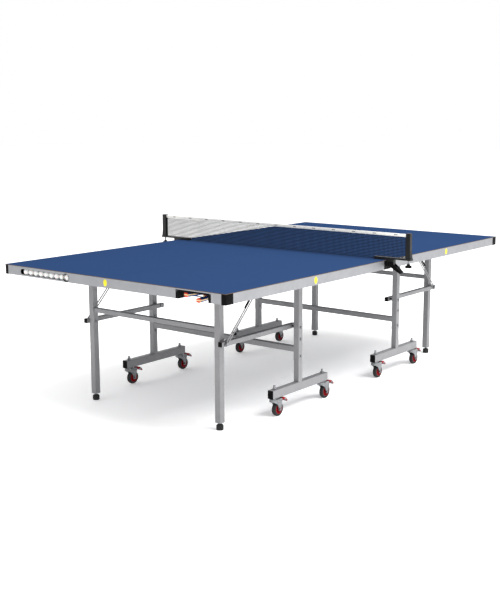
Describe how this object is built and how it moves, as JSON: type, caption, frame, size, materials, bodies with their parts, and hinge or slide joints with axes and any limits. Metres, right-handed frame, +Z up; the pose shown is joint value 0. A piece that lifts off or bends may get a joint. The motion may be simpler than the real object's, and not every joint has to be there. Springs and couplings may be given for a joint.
{
  "type": "table tennis table",
  "caption": "Folding table-tennis table in two rolling halves, with fold-up leg frames, braked swivel casters, a clamped net and end holders for balls and paddles",
  "frame": {"origin": "on the floor at the middle of the net line", "axes": "X along the length of the table, Y across it, Z up; half A is on the -X side"},
  "size_m": [2.74, 1.826, 0.9125],
  "materials": {
    "blue_board": "matt blue paint on board",
    "grey_apron": "satin silver powder coat",
    "grey_frame": "satin silver powder coat",
    "zinc_steel": "zinc plated",
    "bolt_steel": "zinc plated",
    "black_plastic": "fine grained black",
    "black_metal": "black powder coat",
    "caster_tyre": "black rubber on a red hub",
    "red_plastic": "red moulded plastic",
    "foot_rubber": "black",
    "net_cloth": "dark netting with an off-white tape",
    "ball_white": "matt white celluloid",
    "paddle_wood": "plywood blade with red and black rubber"
  },
  "bodies": {
    "chassis_a": {"uprights_a": "grey_frame", "base_beams_a": "grey_frame"},
    "chassis_b": {"uprights_b": "grey_frame", "base_beams_b": "grey_frame"},
    "top_a": {"board_a": "blue_board", "apron_a": "grey_apron", "corner_caps_a": "black_plastic", "subframe_a": "grey_frame", "end_holders_a": "black_plastic", "balls": "ball_white"},
    "legs_a": {"leg_frame_a": "grey_frame", "pivot_bolts_a": "bolt_steel"},
    "rails_a": {"rails_a": "grey_frame"},
    "braces_a": {"braces_a": "zinc_steel"},
    "latches_a": {"latches_a": "black_plastic"},
    "top_b": {"board_b": "blue_board", "apron_b": "grey_apron", "corner_caps_b": "black_plastic", "subframe_b": "grey_frame", "end_holders_b": "black_plastic"},
    "legs_b": {"leg_frame_b": "grey_frame", "pivot_bolts_b": "bolt_steel"},
    "rails_b": {"rails_b": "grey_frame"},
    "braces_b": {"braces_b": "zinc_steel"},
    "latches_b": {"latches_b": "black_plastic"},
    "paddles": {"paddles": "paddle_wood"},
    "net_set": {"net": "net_cloth", "net_posts": "black_metal"},
    "levelling_foot_a1": {"levelling_foot_a1": "foot_rubber"},
    "levelling_foot_a2": {"levelling_foot_a2": "foot_rubber"},
    "caster_fork_a1": {"caster_fork_a1": "zinc_steel"},
    "caster_wheel_a1": {"caster_wheel_a1": "caster_tyre"},
    "brake_pedal_a1": {"brake_pedal_a1": "red_plastic"},
    "caster_fork_a2": {"caster_fork_a2": "zinc_steel"},
    "caster_wheel_a2": {"caster_wheel_a2": "caster_tyre"},
    "brake_pedal_a2": {"brake_pedal_a2": "red_plastic"},
    "caster_fork_a3": {"caster_fork_a3": "zinc_steel"},
    "caster_wheel_a3": {"caster_wheel_a3": "caster_tyre"},
    "brake_pedal_a3": {"brake_pedal_a3": "red_plastic"},
    "caster_fork_a4": {"caster_fork_a4": "zinc_steel"},
    "caster_wheel_a4": {"caster_wheel_a4": "caster_tyre"},
    "brake_pedal_a4": {"brake_pedal_a4": "red_plastic"},
    "levelling_foot_b1": {"levelling_foot_b1": "foot_rubber"},
    "levelling_foot_b2": {"levelling_foot_b2": "foot_rubber"},
    "caster_fork_b1": {"caster_fork_b1": "zinc_steel"},
    "caster_wheel_b1": {"caster_wheel_b1": "caster_tyre"},
    "brake_pedal_b1": {"brake_pedal_b1": "red_plastic"},
    "caster_fork_b2": {"caster_fork_b2": "zinc_steel"},
    "caster_wheel_b2": {"caster_wheel_b2": "caster_tyre"},
    "brake_pedal_b2": {"brake_pedal_b2": "red_plastic"},
    "caster_fork_b3": {"caster_fork_b3": "zinc_steel"},
    "caster_wheel_b3": {"caster_wheel_b3": "caster_tyre"},
    "brake_pedal_b3": {"brake_pedal_b3": "red_plastic"},
    "caster_fork_b4": {"caster_fork_b4": "zinc_steel"},
    "caster_wheel_b4": {"caster_wheel_b4": "caster_tyre"},
    "brake_pedal_b4": {"brake_pedal_b4": "red_plastic"},
    "clamp_lever_right": {"clamp_lever_right": "black_plastic"},
    "height_knob_right": {"height_knob_right": "black_plastic"},
    "clamp_lever_left": {"clamp_lever_left": "black_plastic"},
    "height_knob_left": {"height_knob_left": "black_plastic"}
  },
  "joints": [
    {"name": "halves_part", "type": "slide", "parent": "chassis_a", "child": "chassis_b", "axis": [1, 0, 0], "range_m": [0, 0.6]},
    {"name": "fold_a", "type": "hinge", "parent": "chassis_a", "child": "top_a", "pos_m": [-0.502, 0, 0.722], "axis": [0, 1, 0], "range_deg": [0, 87]},
    {"name": "leg_fold_a", "type": "hinge", "parent": "top_a", "child": "legs_a", "pos_m": [-1.044, 0, 0.722], "axis": [0, 1, 0], "range_deg": [-87, 0]},
    {"name": "rail_fold_a", "type": "hinge", "parent": "chassis_a", "child": "rails_a", "pos_m": [-0.502, 0, 0.44], "axis": [0, 1, 0], "range_deg": [0, 87]},
    {"name": "brace_fold_a", "type": "hinge", "parent": "top_a", "child": "braces_a", "pos_m": [-0.762, 0, 0.722], "axis": [0, 1, 0], "range_deg": [-43.5, 0]},
    {"name": "latch_pull_a", "type": "hinge", "parent": "braces_a", "child": "latches_a", "pos_m": [-0.86821, 0, 0.63729], "axis": [0, 1, 0], "range_deg": [0, 30], "stiffness_Nm_per_rad": 0.3, "springref_deg": -5.73},
    {"name": "level_a1", "type": "slide", "parent": "legs_a", "child": "levelling_foot_a1", "axis": [0, 0, 1], "range_m": [-0.012, 0]},
    {"name": "level_a2", "type": "slide", "parent": "legs_a", "child": "levelling_foot_a2", "axis": [0, 0, 1], "range_m": [-0.012, 0]},
    {"name": "swivel_a1", "type": "hinge", "parent": "chassis_a", "child": "caster_fork_a1", "pos_m": [-0.278, -0.527, 0.1], "axis": [0, 0, 1], "continuous": true},
    {"name": "roll_a1", "type": "hinge", "parent": "caster_fork_a1", "child": "caster_wheel_a1", "pos_m": [-0.252, -0.527, 0.0375], "axis": [0, 1, 0], "continuous": true},
    {"name": "brake_a1", "type": "hinge", "parent": "caster_fork_a1", "child": "brake_pedal_a1", "pos_m": [-0.24, -0.527, 0.084], "axis": [0, 1, 0], "range_deg": [0, 12]},
    {"name": "swivel_a2", "type": "hinge", "parent": "chassis_a", "child": "caster_fork_a2", "pos_m": [-0.708, -0.527, 0.1], "axis": [0, 0, 1], "continuous": true},
    {"name": "roll_a2", "type": "hinge", "parent": "caster_fork_a2", "child": "caster_wheel_a2", "pos_m": [-0.682, -0.527, 0.0375], "axis": [0, 1, 0], "continuous": true},
    {"name": "brake_a2", "type": "hinge", "parent": "caster_fork_a2", "child": "brake_pedal_a2", "pos_m": [-0.67, -0.527, 0.084], "axis": [0, 1, 0], "range_deg": [0, 12]},
    {"name": "swivel_a3", "type": "hinge", "parent": "chassis_a", "child": "caster_fork_a3", "pos_m": [-0.278, 0.527, 0.1], "axis": [0, 0, 1], "continuous": true},
    {"name": "roll_a3", "type": "hinge", "parent": "caster_fork_a3", "child": "caster_wheel_a3", "pos_m": [-0.252, 0.527, 0.0375], "axis": [0, 1, 0], "continuous": true},
    {"name": "brake_a3", "type": "hinge", "parent": "caster_fork_a3", "child": "brake_pedal_a3", "pos_m": [-0.24, 0.527, 0.084], "axis": [0, 1, 0], "range_deg": [0, 12]},
    {"name": "swivel_a4", "type": "hinge", "parent": "chassis_a", "child": "caster_fork_a4", "pos_m": [-0.708, 0.527, 0.1], "axis": [0, 0, 1], "continuous": true},
    {"name": "roll_a4", "type": "hinge", "parent": "caster_fork_a4", "child": "caster_wheel_a4", "pos_m": [-0.682, 0.527, 0.0375], "axis": [0, 1, 0], "continuous": true},
    {"name": "brake_a4", "type": "hinge", "parent": "caster_fork_a4", "child": "brake_pedal_a4", "pos_m": [-0.67, 0.527, 0.084], "axis": [0, 1, 0], "range_deg": [0, 12]},
    {"name": "fold_b", "type": "hinge", "parent": "chassis_b", "child": "top_b", "pos_m": [0.502, 0, 0.722], "axis": [0, -1, 0], "range_deg": [0, 87]},
    {"name": "leg_fold_b", "type": "hinge", "parent": "top_b", "child": "legs_b", "pos_m": [1.044, 0, 0.722], "axis": [0, -1, 0], "range_deg": [-87, 0]},
    {"name": "rail_fold_b", "type": "hinge", "parent": "chassis_b", "child": "rails_b", "pos_m": [0.502, 0, 0.44], "axis": [0, -1, 0], "range_deg": [0, 87]},
    {"name": "brace_fold_b", "type": "hinge", "parent": "top_b", "child": "braces_b", "pos_m": [0.762, 0, 0.722], "axis": [0, -1, 0], "range_deg": [-43.5, 0]},
    {"name": "latch_pull_b", "type": "hinge", "parent": "braces_b", "child": "latches_b", "pos_m": [0.86821, 0, 0.63729], "axis": [0, -1, 0], "range_deg": [0, 30], "stiffness_Nm_per_rad": 0.3, "springref_deg": -5.73},
    {"name": "level_b1", "type": "slide", "parent": "legs_b", "child": "levelling_foot_b1", "axis": [0, 0, 1], "range_m": [-0.012, 0]},
    {"name": "level_b2", "type": "slide", "parent": "legs_b", "child": "levelling_foot_b2", "axis": [0, 0, 1], "range_m": [-0.012, 0]},
    {"name": "swivel_b1", "type": "hinge", "parent": "chassis_b", "child": "caster_fork_b1", "pos_m": [0.278, -0.527, 0.1], "axis": [0, 0, 1], "continuous": true},
    {"name": "roll_b1", "type": "hinge", "parent": "caster_fork_b1", "child": "caster_wheel_b1", "pos_m": [0.304, -0.527, 0.0375], "axis": [0, 1, 0], "continuous": true},
    {"name": "brake_b1", "type": "hinge", "parent": "caster_fork_b1", "child": "brake_pedal_b1", "pos_m": [0.316, -0.527, 0.084], "axis": [0, 1, 0], "range_deg": [0, 12]},
    {"name": "swivel_b2", "type": "hinge", "parent": "chassis_b", "child": "caster_fork_b2", "pos_m": [0.708, -0.527, 0.1], "axis": [0, 0, 1], "continuous": true},
    {"name": "roll_b2", "type": "hinge", "parent": "caster_fork_b2", "child": "caster_wheel_b2", "pos_m": [0.734, -0.527, 0.0375], "axis": [0, 1, 0], "continuous": true},
    {"name": "brake_b2", "type": "hinge", "parent": "caster_fork_b2", "child": "brake_pedal_b2", "pos_m": [0.746, -0.527, 0.084], "axis": [0, 1, 0], "range_deg": [0, 12]},
    {"name": "swivel_b3", "type": "hinge", "parent": "chassis_b", "child": "caster_fork_b3", "pos_m": [0.278, 0.527, 0.1], "axis": [0, 0, 1], "continuous": true},
    {"name": "roll_b3", "type": "hinge", "parent": "caster_fork_b3", "child": "caster_wheel_b3", "pos_m": [0.304, 0.527, 0.0375], "axis": [0, 1, 0], "continuous": true},
    {"name": "brake_b3", "type": "hinge", "parent": "caster_fork_b3", "child": "brake_pedal_b3", "pos_m": [0.316, 0.527, 0.084], "axis": [0, 1, 0], "range_deg": [0, 12]},
    {"name": "swivel_b4", "type": "hinge", "parent": "chassis_b", "child": "caster_fork_b4", "pos_m": [0.708, 0.527, 0.1], "axis": [0, 0, 1], "continuous": true},
    {"name": "roll_b4", "type": "hinge", "parent": "caster_fork_b4", "child": "caster_wheel_b4", "pos_m": [0.734, 0.527, 0.0375], "axis": [0, 1, 0], "continuous": true},
    {"name": "brake_b4", "type": "hinge", "parent": "caster_fork_b4", "child": "brake_pedal_b4", "pos_m": [0.746, 0.527, 0.084], "axis": [0, 1, 0], "range_deg": [0, 12]},
    {"name": "paddle_draw", "type": "slide", "parent": "top_a", "child": "paddles", "axis": [-1, 0, 0], "range_m": [0, 0.2]},
    {"name": "net_lift", "type": "slide", "parent": "chassis_a", "child": "net_set", "axis": [0, 0, 1], "range_m": [0, 0.2]},
    {"name": "clamp_right", "type": "hinge", "parent": "net_set", "child": "clamp_lever_right", "pos_m": [0, -0.7875, 0.74], "axis": [1, 0, 0], "range_deg": [0, 50]},
    {"name": "net_height_right", "type": "hinge", "parent": "net_set", "child": "height_knob_right", "pos_m": [0, -0.893, 0.74], "axis": [0, 0, 1], "continuous": true},
    {"name": "clamp_left", "type": "hinge", "parent": "net_set", "child": "clamp_lever_left", "pos_m": [0, 0.7875, 0.74], "axis": [-1, 0, 0], "range_deg": [0, 50]},
    {"name": "net_height_left", "type": "hinge", "parent": "net_set", "child": "height_knob_left", "pos_m": [0, 0.893, 0.74], "axis": [0, 0, 1], "continuous": true}
  ],
  "couplings": [
    {"joint": "leg_fold_a", "follows": "fold_a", "ratio": -1},
    {"joint": "rail_fold_a", "follows": "fold_a", "ratio": 1},
    {"joint": "brace_fold_a", "follows": "fold_a", "ratio": -0.5},
    {"joint": "leg_fold_b", "follows": "fold_b", "ratio": -1},
    {"joint": "rail_fold_b", "follows": "fold_b", "ratio": 1},
    {"joint": "brace_fold_b", "follows": "fold_b", "ratio": -0.5}
  ]
}
